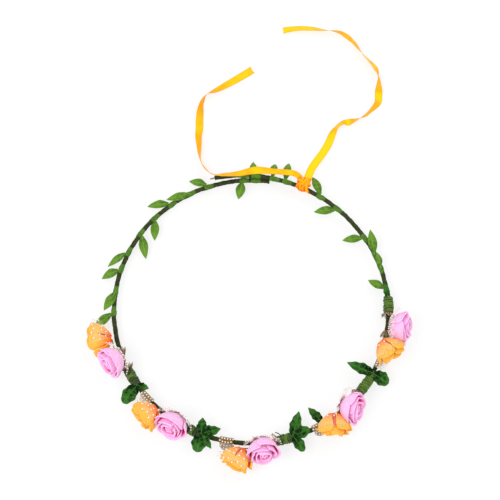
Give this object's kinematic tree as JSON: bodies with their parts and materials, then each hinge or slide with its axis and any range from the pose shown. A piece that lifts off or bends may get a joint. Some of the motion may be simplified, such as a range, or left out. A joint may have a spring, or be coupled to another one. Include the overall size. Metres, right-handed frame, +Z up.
{
  "type": "flower crown",
  "caption": "Wire ring wrapped in green tape with cloth leaves, sprays of pink and orange foam roses with gauze, and a knotted satin ribbon; worn round the head.",
  "frame": {"origin": "centre of the ring, in the plane of its core wire", "axes": "+Z up along the ring's axis, away from the table that the crown lies on; -Y towards the rose sprays at the front, +Y towards the ribbon at the back"},
  "size_m": [0.2315, 0.3553, 0.0292],
  "materials": {
    "steel_wire": "dull drawn wire",
    "vine_tape": "waxed cloth tape",
    "leaf_cloth": "pressed leaf cloth",
    "dark_leaf": "pressed leaf cloth",
    "stem_wire": "green coated wire",
    "binding_cord": "twisted paper cord",
    "pink_foam": "soft matt foam sheet",
    "orange_foam": "soft matt foam sheet",
    "gauze": "dotted net",
    "satin": "satin",
    "satin_knot": "satin, crumpled"
  },
  "bodies": {
    "crown": {"core_wire": "steel_wire", "vine_tape": "vine_tape", "leaf_01": "leaf_cloth", "leaf_02": "leaf_cloth", "leaf_03": "leaf_cloth", "leaf_04": "leaf_cloth", "leaf_05": "leaf_cloth", "leaf_06": "leaf_cloth", "leaf_07": "leaf_cloth", "leaf_08": "leaf_cloth", "leaf_09": "leaf_cloth", "leaf_10": "leaf_cloth", "leaf_11": "leaf_cloth", "leaf_12": "leaf_cloth", "leaf_13": "leaf_cloth", "leaf_14": "leaf_cloth", "leaf_15": "leaf_cloth", "leaf_16": "leaf_cloth", "leaf_17": "leaf_cloth", "leaf_18": "leaf_cloth", "leaf_19": "leaf_cloth", "ribbon_knot": "satin_knot", "ribbon_tail_left": "satin", "ribbon_tail_right": "satin"},
    "spray_1": {"spray_1_sleeve": "vine_tape", "spray_1_stems": "stem_wire", "spray_1_binding": "binding_cord", "spray_1_pink_rose": "pink_foam", "spray_1_orange_rose": "orange_foam", "spray_1_gauze": "gauze", "spray_1_leaves": "dark_leaf"},
    "spray_2": {"spray_2_sleeve": "vine_tape", "spray_2_stems": "stem_wire", "spray_2_binding": "binding_cord", "spray_2_pink_rose": "pink_foam", "spray_2_orange_rose": "orange_foam", "spray_2_gauze": "gauze", "spray_2_leaves": "dark_leaf"},
    "spray_3": {"spray_3_sleeve": "vine_tape", "spray_3_stems": "stem_wire", "spray_3_binding": "binding_cord", "spray_3_pink_rose": "pink_foam", "spray_3_orange_rose": "orange_foam", "spray_3_gauze": "gauze", "spray_3_leaves": "dark_leaf"},
    "spray_4": {"spray_4_sleeve": "vine_tape", "spray_4_stems": "stem_wire", "spray_4_binding": "binding_cord", "spray_4_pink_rose": "pink_foam", "spray_4_orange_rose": "orange_foam", "spray_4_gauze": "gauze", "spray_4_leaves": "dark_leaf"},
    "spray_5": {"spray_5_sleeve": "vine_tape", "spray_5_stems": "stem_wire", "spray_5_binding": "binding_cord", "spray_5_pink_rose": "pink_foam", "spray_5_orange_rose": "orange_foam", "spray_5_gauze": "gauze", "spray_5_leaves": "dark_leaf"}
  },
  "joints": [
    {"name": "spray_1_turn", "type": "hinge", "parent": "crown", "child": "spray_1", "pos_m": [-0.08564, -0.05146, 0], "axis": [-0.515, 0.8572, 0], "range_deg": [-15, 20]},
    {"name": "spray_2_turn", "type": "hinge", "parent": "crown", "child": "spray_2", "pos_m": [-0.04222, -0.09055, 0], "axis": [-0.9063, 0.4226, 0], "range_deg": [-15, 20]},
    {"name": "spray_3_turn", "type": "hinge", "parent": "crown", "child": "spray_3", "pos_m": [0.02332, -0.09715, 0], "axis": [-0.9724, -0.2334, 0], "range_deg": [-15, 20]},
    {"name": "spray_4_turn", "type": "hinge", "parent": "crown", "child": "spray_4", "pos_m": [0.08031, -0.05943, 0], "axis": [-0.5948, -0.8039, 0], "range_deg": [-15, 20]},
    {"name": "spray_5_turn", "type": "hinge", "parent": "crown", "child": "spray_5", "pos_m": [0.09991, 0.00087, 0], "axis": [0.0087, -1, 0], "range_deg": [-15, 20]}
  ]
}
